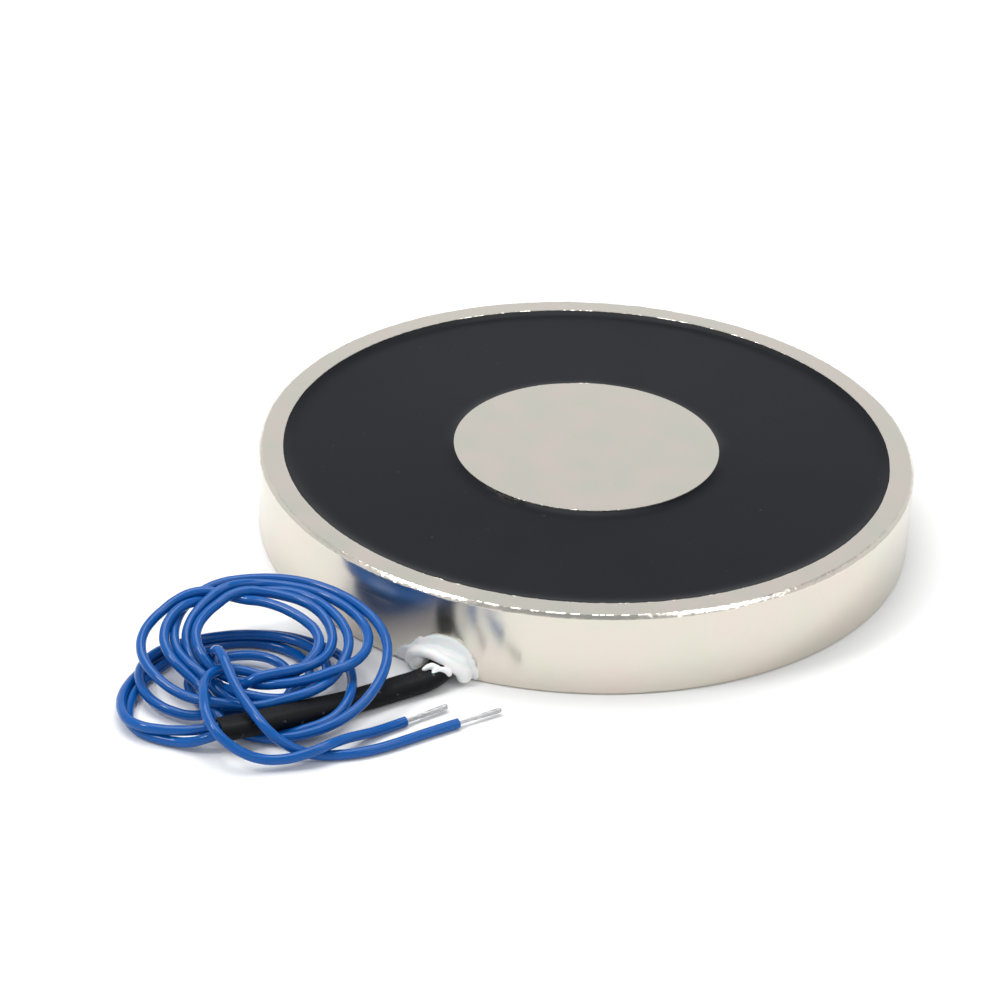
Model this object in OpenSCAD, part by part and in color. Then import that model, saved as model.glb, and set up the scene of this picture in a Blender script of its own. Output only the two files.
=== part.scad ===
// Flat round holding electromagnet, lying on its back with the holding face up.
// Millimetres, +Z up, origin at the centre of the back face. The leads leave towards -Y.

/* [Pot] */
// Outer diameter of the steel pot
pot_d = 100; // [80:1:140]
// Overall height of the pot, and of its pole
pot_h = 13; // [12:0.5:20]
// Thickness of the rim wall
rim_wall = 3.7; // [2.5:0.1:6]
// Thickness of the base under the groove
base_t = 4; // [3:0.1:5]
// Diameter of the centre pole
pole_d = 40.6; // [30:0.1:46]
// Chamfer on the outer edge of the holding face
face_chamfer = 0.5; // [0.2:0.1:1.5]
// Chamfer on the outer edge of the back face
back_chamfer = 0.4; // [0.1:0.1:1]
// Chamfer on the two edges beside the groove
groove_chamfer = 0.3; // [0.1:0.1:0.6]

/* [Mounting thread] */
// Major diameter of the tapped hole in the back
thread_d = 8; // [5:1:10]
// Depth of full thread
thread_depth = 8; // [6:0.5:8.5]
// Depth of the countersink at the mouth
thread_mouth = 0.6; // [0.2:0.1:1]

/* [Former and winding] */
// Slip clearance between the pole and the former
former_gap = 0.3; // [0.1:0.05:0.6]
// Thickness of the former's tube
former_wall = 1; // [0.6:0.1:2]
// Thickness of each flange of the former
flange_t = 0.8; // [0.5:0.1:1.2]
// Depth of the tape below the edge of the flanges
winding_inset = 1.2; // [0.6:0.1:3]
// Thickness of the tape around the winding
tape_t = 0.3; // [0.1:0.05:0.6]
// Diameter of the magnet wire
magnet_wire_d = 0.5; // [0.3:0.05:0.7]

/* [Casting resin] */
// Depth of the resin's surface below the holding face
resin_drop = 0.4; // [0.1:0.05:1]
// Thickness of resin over the former
resin_cover = 1.6; // [1.2:0.1:2.5]
// Height that the resin climbs at the pole and at the rim
meniscus = 0.4; // [0.1:0.05:0.6]
// Width of the ring outside the former, kept for the soldered joints
joint_room = 4.3; // [3.4:0.1:6]

/* [Soldered joints] */
// Diameter of a soldered joint
joint_d = 1.1; // [0.8:0.05:1.3]
// Length of a soldered joint
joint_l = 8; // [5:0.5:12]
// Wall of the sleeve over a joint
joint_sleeve_wall = 0.3; // [0.15:0.05:0.4]
// Length that a joint's sleeve laps over the lead and the tail
joint_lap = 3; // [1:0.5:4]

/* [Leads] */
// Outer diameter of a lead
lead_d = 1.45; // [1.2:0.05:1.6]
// Diameter of the stranded conductor with its solder
conductor_d = 0.8; // [0.4:0.05:0.9]
// Stripped length at the free end of a lead
strip_l = 7; // [4:0.5:10]
// Bend radius of a lead behind the lead hole
lead_bend = 2.2; // [1.6:0.1:3]

/* [Lead exit] */
// Slope of the lead hole, falling outwards
hole_slope = 20; // [10:1:28]
// Clearance between the sleeve and the lead hole
hole_gap = 0.35; // [0.2:0.05:0.6]
// Wall of the black sleeve
sleeve_wall = 0.3; // [0.2:0.05:0.5]
// Room inside the sleeve beside the leads
sleeve_slack = 0.6; // [0.3:0.05:0.9]
// Radius of the bead of sealant
bead_r = 1.4; // [1:0.1:1.8]

/* [Coil of leads] */
// Mid radius of the lower turns
lower_r = 13.5; // [12:0.5:14]
// Half width of the band of lower turns
lower_band = 3.2; // [2:0.1:3.5]
// Mid radius of the round ends of the upper turns
upper_r = 10; // [8:0.5:10]
// Half distance between the round ends of the upper turns
upper_spread = 4.4; // [3:0.2:5]
// Half width of the band of upper turns
upper_band = 4; // [2.5:0.1:4]
// Height of the coil above the table
coil_h = 8.4; // [6.5:0.1:9]

/* [Hidden] */
$fn = 64;

// Overlap that carries a cut past the face it opens
over = 1;
// Small play between pieces that are slipped together
slip = 0.05;

// Point angle of the drill that leaves the cone above the thread
drill_angle = 118;

pot_r = pot_d / 2;
rim_r = pot_r - rim_wall;
pole_r = pole_d / 2;

// Former, winding and resin
former_r = pole_r + former_gap;
winding_in_r = former_r + former_wall;
flange_r = rim_r - joint_room;
tape_r = flange_r - winding_inset;
winding_r = tape_r - tape_t;
resin_z = pot_h - resin_drop;
former_top = resin_z - resin_cover;
winding_low = base_t + flange_t;
winding_high = former_top - flange_t;

// Soldered joints, on a circle in the middle of the ring outside the former
joint_sleeve_in = lead_d + 2 * slip;
joint_sleeve_d = joint_sleeve_in + 2 * joint_sleeve_wall;
joint_floor_gap = 0.2;
joint_r = rim_r - joint_room / 2;
joint_z = base_t + joint_floor_gap + joint_sleeve_d / 2;

// Leads side by side in the sleeve
lead_gap = 0.1;
lead_x = (lead_d + lead_gap) / 2;
bend_x = lead_x + lead_bend;
sleeve_in_t = lead_d + sleeve_slack;
sleeve_in_w = 2 * lead_d + sleeve_slack;
sleeve_t = sleeve_in_t + 2 * sleeve_wall;
sleeve_w = sleeve_in_w + 2 * sleeve_wall;

// Lead hole: its axis starts at the outer face and rises inwards to the joints
hole_d = sleeve_w + 2 * hole_gap;
hole_run = (pot_r - sqrt(joint_r * joint_r - bend_x * bend_x)) / cos(hole_slope);
hole_z = joint_z - hole_run * sin(hole_slope);
bend_start = hole_run - lead_bend;
plug_l = rim_wall / cos(hole_slope) - hole_d / 2 * tan(hole_slope);
hole_out = [0, -cos(hole_slope), -sin(hole_slope)];
sleeve_straight = 3.2;

// Arch of sealant: its mid line outside the hole's edge, its centre below the hole, its lower ends
bead_margin = 0.5;
bead_drop = 0.7;
bead_low = -10;

// Angles around the pot from the lead hole: end of the bend, joint, end of its sleeve, tail
bend_angle = asin(bend_x / joint_r);
function joint_angle(length) = length / joint_r * 180 / PI;
// Lengths of lead and of tail that show outside a joint's sleeve
lead_show = 2;
tail_show = 4;
lead_arc = joint_angle(joint_lap + lead_show);
joint_start = bend_angle + lead_arc;
joint_end = joint_start + joint_angle(joint_l);
tail_end = joint_end + joint_angle(joint_lap + tail_show);

// Start tail: over the former's upper flange to the inside of the winding
tail_top_z = former_top + slip + magnet_wire_d / 2;
tail_in_r = winding_in_r + magnet_wire_d;

// Coil of leads on the table, from the foot of the wall below the lead hole
lower_center = [-24.5, -18];
lower_from = 25;
lower_to = 270;
lower_top = 4.8;
upper_center = [-22.8, -12.2];
upper_low = 4.5;

// Route of the sleeve on the table, from the foot of the wall below the lead hole
sleeve_route = [[-1, -5, 1.6], [-3.2, -8, 1.4], [-5.8, -11.8, 1.4], [-8.2, -15.5, 1.6],
    [-10.2, -18.8, 2.1], [-12, -21.8, 2.5], [-13.8, -24.4, 2.8], [-16.6, -27.8, 2.9],
    [-19.6, -30.8, 2.9]];
// Route of both leads from the sleeve's end to the coil, and their direction there
lead_route = [[-21.2, -31.5, 2.5], [-22.8, -31.6, 1.9], [-24.5, -31.6, 1.6]];
coil_entry = [-1, 0, 0];
// Routes of the two free ends, from the coil to the end of the insulation
end_a_route = [[-15.2, -26.7, 5.4], [-11.8, -27.5, 3.9], [-8.7, -27.2, 2], [-5.6, -26.4, 0.9],
    [-2.6, -25.2, 0.75], [-0.4, -23.1, 0.75], [1.6, -20.5, 0.75], [3.6, -17.3, 0.75],
    [5.5, -14.4, 0.75], [7.4, -11.6, 0.75]];
end_b_route = [[-24, -27.1, 6], [-21.8, -30.5, 5.6], [-18.8, -33.5, 4.8], [-15.8, -33.7, 2.8],
    [-12.4, -32.4, 1.3], [-9, -31, 1.5], [-6.2, -28.9, 2.3], [-4.7, -26, 2.4], [-3.7, -23.3, 2],
    [-2.4, -20.2, 1.1], [-1, -17.4, 0.75], [0.7, -14.5, 0.75]];

// Colours of the pieces
nickel = "#d8d2c6";
resin_black = "#2c2d30";
sealant_white = "#f1f1ec";
sleeve_black = "#202124";
lead_blue = "#2a62b4";
tinned = "#aaa8a4";
former_ivory = "#e8e2cf";
copper = "#b4642c";
tape_yellow = "#e0c248";
glass_sleeve = "#d6d4c8";

// Geometry helpers

function unit(v) = v / norm(v);

// Horizontal direction to the right of a direction of travel
function right_of(t) = unit(cross(t, [0, 0, 1]));

function directions(path, first, last) =
    [for (i = [0 : len(path) - 1])
        i == 0 ? first : i == len(path) - 1 ? last : unit(path[i + 1] - path[i - 1])];

function last_step(path) = unit(path[len(path) - 1] - path[len(path) - 2]);

function beside(path, dirs, offset) =
    [for (i = [0 : len(path) - 1]) path[i] + offset * right_of(dirs[i])];

function ring(point, t, section) =
    let (r = right_of(t), u = cross(r, t))
    [for (q = section) point + q[0] * r + q[1] * u];

function rings(path, dirs, section) =
    [for (i = [0 : len(path) - 1]) each ring(path[i], dirs[i], section)];

// Triangles between rings of n points; the first point has index base
function skin(count, n, base, outward) =
    [for (i = [0 : count - 2], k = [0 : n - 1])
        let (a = base + i * n + k, b = base + i * n + (k + 1) % n)
        each outward ? [[a, b, a + n], [b, b + n, a + n]] : [[b, a, a + n], [b, a + n, b + n]]];

function circle_section(d, sides) =
    [for (k = [0 : sides - 1]) d / 2 * [cos(k * 360 / sides), sin(k * 360 / sides)]];

// Flat section with round sides
function oval_section(w, t, step) =
    concat([for (a = [-90 : step : 90]) [(w - t) / 2 + t / 2 * cos(a), t / 2 * sin(a)]],
        [for (a = [90 : step : 270]) [(t - w) / 2 + t / 2 * cos(a), t / 2 * sin(a)]]);

// Solid cord along a path
module cord(path, dirs, d) {
    sides = 8;
    count = len(path);
    last = (count - 1) * sides;
    polyhedron(
        points = rings(path, dirs, circle_section(d, sides)),
        faces = concat(skin(count, sides, 0, true),
            [[for (k = [sides - 1 : -1 : 0]) k], [for (k = [0 : sides - 1]) last + k]]));
}

// Flat tube along a path
module flat_tube(path, dirs, w, t, wall) {
    step = 30;
    outer = oval_section(w, t, step);
    inner = oval_section(w - 2 * wall, t - 2 * wall, step);
    n = len(outer);
    count = len(path);
    base = count * n;
    last = (count - 1) * n;
    polyhedron(
        points = concat(rings(path, dirs, outer), rings(path, dirs, inner)),
        faces = concat(skin(count, n, 0, true), skin(count, n, base, false),
            [for (k = [0 : n - 1]) let (m = (k + 1) % n)
                each [[m, k, base + k], [m, base + k, base + m]]],
            [for (k = [0 : n - 1]) let (m = (k + 1) % n)
                each [[last + k, last + m, base + last + m],
                    [last + k, base + last + m, base + last + k]]]));
}

// Frame of the lead hole: +Y runs along its axis into the pot
module at_hole() {
    translate([0, -pot_r, hole_z])
        rotate([hole_slope, 0, 0])
            children();
}

function hole_point(x, y) =
    [x, y * cos(hole_slope) - pot_r, hole_z + y * sin(hole_slope)];

// Straight round cut or rod along the lead hole
module along_hole(d, from, to) {
    at_hole()
        translate([0, from, 0])
            rotate([-90, 0, 0])
                cylinder(d = d, h = to - from);
}

// Straight flat cut along the lead hole, a slip fit on the black sleeve
module sleeve_cut(from, to) {
    t = sleeve_t + 2 * slip;
    half_flat = (sleeve_w - sleeve_t) / 2;
    at_hole()
        translate([0, from, 0])
            rotate([-90, 0, 0])
                linear_extrude(height = to - from) {
                    square([2 * half_flat, t], center = true);
                    for (side = [-1, 1])
                        translate([side * half_flat, 0])
                            circle(d = t);
                }
}

// Rod or tube bent along the circle of the joints, on one side of the lead hole
module joint_arc(side, from, to, d, bore = 0) {
    start = side > 0 ? from - 90 : -90 - to;
    translate([0, 0, joint_z])
        rotate([0, 0, start])
            rotate_extrude(angle = to - from)
                translate([joint_r, 0])
                    difference() {
                        circle(d = d);
                        if (bore > 0)
                            circle(d = bore);
                    }
}

function joint_point(side, angle) =
    [side * joint_r * sin(angle), -joint_r * cos(angle), joint_z];

// Turns a radial piece to an angle from the lead hole
module at_joint_angle(side, angle) {
    rotate([0, 0, side * angle - 90])
        children();
}

// Pieces

module pot() {
    drill_tip = thread_d / 2 / tan(drill_angle / 2);
    color(nickel)
        difference() {
            rotate_extrude()
                polygon([[0, 0], [pot_r - back_chamfer, 0], [pot_r, back_chamfer],
                    [pot_r, pot_h - face_chamfer], [pot_r - face_chamfer, pot_h],
                    [rim_r + groove_chamfer, pot_h], [rim_r, pot_h - groove_chamfer],
                    [rim_r, base_t], [pole_r, base_t], [pole_r, pot_h - groove_chamfer],
                    [pole_r - groove_chamfer, pot_h], [0, pot_h]]);
            along_hole(hole_d, -over, hole_run);
            translate([0, 0, -over])
                cylinder(d = thread_d, h = thread_depth + over);
            translate([0, 0, thread_depth])
                cylinder(d1 = thread_d, d2 = 0, h = drill_tip);
            cylinder(d1 = thread_d + 2 * thread_mouth, d2 = thread_d, h = thread_mouth);
        }
}

// Vertical hole in the upper flange for the start of the winding
module start_tail_hole(d, from, to) {
    at_joint_angle(-1, tail_end)
        translate([tail_in_r, 0, from])
            cylinder(d = d, h = to - from);
}

module former() {
    color(former_ivory)
        difference() {
            rotate_extrude()
                polygon([[former_r, base_t], [flange_r, base_t], [flange_r, winding_low],
                    [winding_in_r, winding_low], [winding_in_r, winding_high],
                    [flange_r, winding_high], [flange_r, former_top], [former_r, former_top]]);
            start_tail_hole(magnet_wire_d + 2 * slip, winding_high - over, former_top + over);
        }
}

module winding() {
    color(copper)
        translate([0, 0, winding_low])
            difference() {
                cylinder(r = winding_r, h = winding_high - winding_low);
                translate([0, 0, -over])
                    cylinder(r = winding_in_r, h = pot_h);
            }
}

module winding_tape() {
    color(tape_yellow)
        difference() {
            translate([0, 0, winding_low])
                cylinder(r = tape_r, h = winding_high - winding_low);
            cylinder(r = winding_r, h = pot_h);
            finish_tail_spoke();
        }
}

// Finish tail from the circle of the joints straight in to the winding
module finish_tail_spoke() {
    at_joint_angle(1, tail_end)
        translate([winding_r, 0, joint_z])
            rotate([0, 90, 0])
                cylinder(d = magnet_wire_d, h = joint_r - winding_r);
}

// Bend of a tail, a little thicker than the wire
module tail_corner(side, r, z) {
    at_joint_angle(side, tail_end)
        translate([r, 0, z])
            sphere(d = magnet_wire_d + 2 * slip);
}

module finish_tail() {
    color(copper) {
        joint_arc(1, joint_end, tail_end, magnet_wire_d);
        tail_corner(1, joint_r, joint_z);
        finish_tail_spoke();
    }
}

module start_tail() {
    color(copper) {
        joint_arc(-1, joint_end, tail_end, magnet_wire_d);
        tail_corner(-1, joint_r, joint_z);
        at_joint_angle(-1, tail_end) {
            translate([joint_r, 0, joint_z])
                cylinder(d = magnet_wire_d, h = tail_top_z - joint_z);
            translate([tail_in_r, 0, tail_top_z])
                rotate([0, 90, 0])
                    cylinder(d = magnet_wire_d, h = joint_r - tail_in_r);
        }
        tail_corner(-1, joint_r, tail_top_z);
        tail_corner(-1, tail_in_r, tail_top_z);
        start_tail_hole(magnet_wire_d, winding_high, tail_top_z);
    }
}

module solder_joint(side) {
    color(tinned)
        joint_arc(side, joint_start, joint_end, joint_d);
}

module joint_sleeve(side) {
    lap = joint_angle(joint_lap);
    color(glass_sleeve)
        joint_arc(side, joint_start - lap, joint_end + lap, joint_sleeve_d, joint_sleeve_in);
}

module start_joint() {
    solder_joint(-1);
}

module finish_joint() {
    solder_joint(1);
}

module start_joint_sleeve() {
    joint_sleeve(-1);
}

module finish_joint_sleeve() {
    joint_sleeve(1);
}

// Space that a lead takes in the resin, from the sleeve's end to its joint
module lead_bed(side) {
    path = concat(lead_inside(side),
        [for (y = [bend_start, bend_start - over]) hole_point(side * lead_x, y)]);
    cord(path, directions(path, lead_start(side), hole_out), lead_d + 2 * slip);
}

module casting_resin() {
    lap = joint_angle(joint_lap);
    climb = [0 : 20 : 60];
    at_rim = [for (a = climb) [rim_r - meniscus * (1 - sin(a)), resin_z + meniscus * (1 - cos(a))]];
    at_pole = [for (a = climb) [pole_r + meniscus * (1 - sin(a)), resin_z + meniscus * (1 - cos(a))]];
    last = len(at_rim) - 1;
    color(resin_black)
        difference() {
            union() {
                rotate_extrude()
                    polygon(concat([[pole_r, former_top], [flange_r, former_top],
                        [flange_r, winding_high], [tape_r, winding_high], [tape_r, winding_low],
                        [flange_r, winding_low], [flange_r, base_t], [rim_r, base_t],
                        [rim_r, at_rim[last][1]]],
                        [for (i = [last : -1 : 0]) at_rim[i]], at_pole,
                        [[pole_r, at_pole[last][1]]]));
                intersection() {
                    along_hole(hole_d, plug_l, hole_run);
                    difference() {
                        cylinder(r = pot_r, h = resin_z);
                        cylinder(r = flange_r, h = resin_z);
                    }
                }
            }
            sleeve_cut(0, bend_start);
            for (side = [-1, 1]) {
                lead_bed(side);
                joint_arc(side, joint_start - lap, joint_end + lap, joint_sleeve_d);
            }
            finish_tail();
            start_tail();
        }
}

// Way of a lead from its joint through the hole and the sleeve to the coil
function sleeve_path() =
    concat([hole_point(0, bend_start), hole_point(0, 0), hole_point(0, -sleeve_straight)],
        on_table(sleeve_route));

function on_table(route) = [for (p = route) [p[0], p[1] - pot_r, p[2]]];

function sleeve_directions() =
    let (path = sleeve_path())
    directions(path, hole_out, last_step(path));

function lead_inside(side) =
    concat([for (f = [0 : 0.5 : 1]) joint_point(side, joint_start - f * lead_arc)],
        [for (a = [30 : 30 : 60])
            hole_point(side * (bend_x - lead_bend * sin(a)), bend_start + lead_bend * cos(a))]);

// Direction in which a lead leaves its joint
function lead_start(side) = [-side * cos(joint_start), -sin(joint_start), 0];

module lead_run(side) {
    middle = concat(sleeve_path(), on_table(lead_route));
    dirs = directions(middle, hole_out, coil_entry);
    path = concat(lead_inside(side), beside(middle, dirs, -side * lead_x));
    color(lead_blue)
        cord(path, directions(path, lead_start(side), coil_entry), lead_d);
}

module lead_a_run() {
    lead_run(-1);
}

module lead_b_run() {
    lead_run(1);
}

module exit_sleeve() {
    color(sleeve_black)
        flat_tube(sleeve_path(), sleeve_directions(), sleeve_w, sleeve_t, sleeve_wall);
}

// Bead around the mouth of the lead hole, and the plug that fills the hole around the sleeve
module sealant() {
    color(sealant_white)
        difference() {
            union() {
                difference() {
                    translate([0, -pot_r, hole_z - bead_drop])
                        rotate([90, 0, 0])
                            rotate([0, 0, bead_low])
                                rotate_extrude(angle = 180 - 2 * bead_low)
                                    translate([hole_d / 2 + bead_margin, 0])
                                        circle(r = bead_r);
                    cylinder(r = pot_r, h = pot_h);
                }
                intersection() {
                    along_hole(hole_d, -over, plug_l);
                    cylinder(r = pot_r, h = pot_h);
                }
            }
            sleeve_cut(-sleeve_straight, bend_start);
        }
}

// Flat band with rounded edges, for a section of the coil
module band_section(r, half_width, height) {
    edge = height / 2;
    translate([r, edge]) {
        square([2 * (half_width - edge), height], center = true);
        for (side = [-1, 1])
            translate([side * (half_width - edge), 0])
                circle(r = edge);
    }
}

// Loose coil of both leads: lower turns on the table, upper turns lying across them
module lead_coil() {
    upper_h = coil_h - upper_low;
    color(lead_blue)
        translate([0, -pot_r, 0]) {
            translate(lower_center)
                rotate([0, 0, lower_from])
                    rotate_extrude(angle = lower_to - lower_from)
                        band_section(lower_r, lower_band, lower_top);
            translate([upper_center[0], upper_center[1], upper_low]) {
                for (side = [-1, 1])
                    translate([side * upper_spread, 0, 0])
                        rotate([0, 0, -90 * side])
                            rotate_extrude(angle = 180)
                                band_section(upper_r, upper_band, upper_h);
                for (side = [-1, 1])
                    translate([-upper_spread, 0, 0])
                        rotate([90, 0, 90])
                            linear_extrude(height = 2 * upper_spread)
                                band_section(side * upper_r, upper_band, upper_h);
            }
        }
}

module free_end(route) {
    path = on_table(route);
    first = unit(path[1] - path[0]);
    color(lead_blue)
        cord(path, directions(path, first, last_step(path)), lead_d);
}

module bare_tip(route) {
    path = on_table(route);
    t = last_step(path);
    color(tinned)
        translate(path[len(path) - 1])
            rotate([0, 90, atan2(t[1], t[0])])
                cylinder(d = conductor_d, h = strip_l);
}

module lead_a_end() {
    free_end(end_a_route);
}

module lead_b_end() {
    free_end(end_b_route);
}

module lead_a_tip() {
    bare_tip(end_a_route);
}

module lead_b_tip() {
    bare_tip(end_b_route);
}

pot();
former();
winding();
winding_tape();
casting_resin();
start_tail();
finish_tail();
start_joint();
finish_joint();
start_joint_sleeve();
finish_joint_sleeve();
lead_a_run();
lead_b_run();
exit_sleeve();
sealant();
lead_coil();
lead_a_end();
lead_b_end();
lead_a_tip();
lead_b_tip();
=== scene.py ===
"""Looks of a flat round holding electromagnet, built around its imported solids.

The drawing's millimetres are kept as they are, and MM turns them into Blender's metres.
"""

import math

import bmesh
import bpy
import numpy as np
from bpy.props import FloatProperty, FloatVectorProperty, PointerProperty
from bpy.types import Operator, Panel, PropertyGroup
from mathutils import Matrix, Vector, noise


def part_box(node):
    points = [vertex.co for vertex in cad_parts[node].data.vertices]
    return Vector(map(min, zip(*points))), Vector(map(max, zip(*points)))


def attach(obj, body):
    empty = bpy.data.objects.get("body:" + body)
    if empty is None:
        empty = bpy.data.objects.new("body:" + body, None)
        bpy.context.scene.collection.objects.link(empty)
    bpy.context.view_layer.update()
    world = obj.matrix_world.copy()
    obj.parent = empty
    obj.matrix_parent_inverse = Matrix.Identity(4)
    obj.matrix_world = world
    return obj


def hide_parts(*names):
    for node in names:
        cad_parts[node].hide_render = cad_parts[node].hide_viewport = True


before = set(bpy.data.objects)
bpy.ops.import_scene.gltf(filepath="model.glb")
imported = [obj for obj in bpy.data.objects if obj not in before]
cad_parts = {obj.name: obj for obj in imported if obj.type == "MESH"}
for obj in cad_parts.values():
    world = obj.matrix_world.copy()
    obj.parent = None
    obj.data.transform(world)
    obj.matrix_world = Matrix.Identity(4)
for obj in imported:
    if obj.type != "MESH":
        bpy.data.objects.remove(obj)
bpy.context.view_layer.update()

bl_info = {
    "name": "Holding electromagnet",
    "version": (1, 0, 0),
    "blender": (4, 5, 0),
    "location": "View3D > Sidebar > Magnet",
    "description": "Dresses the packed solids of a flat round holding electromagnet",
    "category": "Object",
}

MM = 0.001
# Spacing in millimetres of the points on a line that a cord or the sleeve follows
FINE_STEP = 0.5
POT_LOW, POT_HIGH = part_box("pot")
POT_R = (POT_HIGH[0] - POT_LOW[0]) / 2 / MM
POT_H = (POT_HIGH[2] - POT_LOW[2]) / MM

# Routes repeated from the part's source, in millimetres. Their y starts at the pot's wall.
SLEEVE_ROUTE = [
    (-1, -5, 1.6), (-3.2, -8, 1.4), (-5.8, -11.8, 1.4), (-8.2, -15.5, 1.6), (-10.2, -18.8, 2.1),
    (-12, -21.8, 2.5), (-13.8, -24.4, 2.8), (-16.6, -27.8, 2.9), (-19.6, -30.8, 2.9),
]
END_A_ROUTE = [
    (-14.3, -29, 4.8), (-11.7, -29.7, 3.4), (-9.1, -29, 1.9), (-6.6, -27.8, 0.9), (-4.6, -26.6, 0.75),
    (-2.6, -25.2, 0.75), (-0.4, -23.1, 0.75), (1.6, -20.5, 0.75), (3.6, -17.3, 0.75), (5.5, -14.4, 0.75),
    (7.4, -11.6, 0.75),
]
END_B_ROUTE = [
    (-23.6, -27.8, 6.3), (-21.4, -31.5, 5.8), (-18, -34.2, 4.6), (-15, -34.2, 3), (-12, -33.2, 1.8),
    (-9, -31, 1.5), (-6.2, -28.9, 2.3), (-4.7, -26, 2.4), (-3.7, -23.3, 2), (-2.4, -20.2, 1.1),
    (-1, -17.4, 0.75), (0.7, -14.5, 0.75),
]
# Lead B inside the resin, from its joint to the lead hole, in the part's frame. Lead A is its mirror image.
INSIDE_ROUTE = [
    (7.9, -43.4, 5.3), (5.5, -43.8, 5.3), (3, -44.05, 5.3), (1.9, -44.3, 5.2), (1.1, -45.1, 4.9),
]
# From the sleeve's end into the first turn, and from the last turn over the crest to the free end
ENTRY_A = [(-21.6, -31.2, 2.6), (-23.4, -32, 2.3), (-27.3, -33.6, 2.2)]
ENTRY_B = [(-20.6, -32.5, 2.2), (-22.6, -33.2, 1.3), (-25, -33.5, 0.8)]
CREST_A = [
    (-20.6, -20.6, 4.6), (-22.3, -21.4, 3), (-23.8, -21.2, 1.8), (-25.4, -19.9, 1.4), (-27.1, -18.5, 2.4),
    (-28, -17.8, 4.6), (-27.1, -18.5, 6.8), (-25.4, -19.9, 7.8), (-23, -22.3, 7.2), (-20.4, -24.8, 6.3),
    (-17.3, -27, 5.5),
]
CREST_B = [
    (-20, -18.8, 4.6), (-22.4, -19, 5), (-24.2, -20, 5.1), (-25.2, -21.8, 5.4), (-25.3, -24, 5.9),
    (-24.7, -26, 6.2),
]
# The coil's turns: radius and height every 45 degrees, clockwise from the front left
COIL_CENTER = (-23.5, -15)
COIL_STEP = 45
TURNS_A = [
    (20.5, 1.9), (15.6, 0.8), (11.6, 0.8), (11.6, 1), (12.2, 1.7), (14.3, 3.1), (16.9, 2.2), (11.8, 0.8),
    (9, 0.75), (8.5, 0.8), (6, 1.4), (4.4, 2), (4.8, 2), (6, 1.4), (7.5, 0.75), (8, 0.75),
    (14.3, 1.6), (15.2, 2.2), (10.8, 2.2), (9.6, 2.2), (10.4, 2.3), (11, 2.6), (10.2, 3), (8.4, 3.3),
    (6.8, 3.4), (8.9, 5.7), (10.5, 8.2), (12.4, 8.6), (15.2, 8.2), (16.5, 6.6), (8.9, 4.7), (5.7, 4),
    (6.1, 5), (7.6, 7.2), (8.6, 8.3), (11, 8.6), (11.7, 8.3), (11.4, 6.4), (7, 5.2),
]
TURNS_B = [
    (20, 0.8), (13.8, 0.8), (10.8, 0.8), (9.6, 0.8), (9.2, 0.8), (8.4, 1.2), (8.6, 2), (8.6, 2.9),
    (7.3, 4), (10.4, 5.7), (13.3, 8.2), (14.7, 8.6), (16.5, 8.4), (19.5, 6.7), (18.5, 2.7), (13.4, 0.8),
    (8.5, 3.3), (12.1, 6.4), (12, 8.2), (11.3, 8.6), (12.9, 8.3), (14, 6.7), (12, 4.1), (10.3, 3),
    (12.5, 3.7), (15.3, 6.1), (13.2, 8.2), (8.7, 8.6), (8.2, 8.4), (10.1, 6.9), (7, 4.2),
]


def linear(hex_colour):
    """A colour written as sRGB hex, as linear red, green and blue."""
    channels = [int(hex_colour[i:i + 2], 16) / 255 for i in (1, 3, 5)]
    return [c / 12.92 if c <= 0.04045 else ((c + 0.055) / 1.055) ** 2.4 for c in channels]


def length(name, default, description):
    """A length property whose default is given in millimetres."""
    return FloatProperty(
        name=name, description=description, default=default * MM, min=0.0, unit="LENGTH", precision=5)


def colour(name, default, description):
    """A colour property whose default is given as sRGB hex."""
    return FloatVectorProperty(
        name=name, description=description, default=linear(default), min=0.0, max=1.0, size=3,
        subtype="COLOR")


def degrees(name, default, description):
    """An angle property whose default is given in degrees."""
    return FloatProperty(name=name, description=description, default=math.radians(default), subtype="ANGLE")


class MagnetPotSizes(PropertyGroup):
    """Sizes of the pot"""
    rim_wall: length("Rim wall", 3.7, "Thickness of the rim around the groove")
    base: length("Base", 4.0, "Thickness of the pot's base under the groove")
    pole: length("Pole", 40.6, "Diameter of the centre pole")
    face_chamfer: length("Face chamfer", 0.5, "Chamfer of the rim's outer edge")
    back_chamfer: length("Back chamfer", 0.4, "Chamfer of the back's edge")
    groove_chamfer: length("Groove chamfer", 0.05, "Chamfer of both edges of the groove")
    edge_burr: length("Edge burr", 0.04, "Unevenness that the plating leaves on a turned edge")
    thread: length("Thread", 8.0, "Major diameter of the tapped hole")
    thread_pitch: length("Thread pitch", 1.25, "Pitch of the tapped hole")
    thread_depth: length("Thread depth", 8.0, "Depth of the tapped hole below its drill cone")
    thread_mouth: length("Thread mouth", 0.6, "Countersink of the tapped hole")


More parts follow.
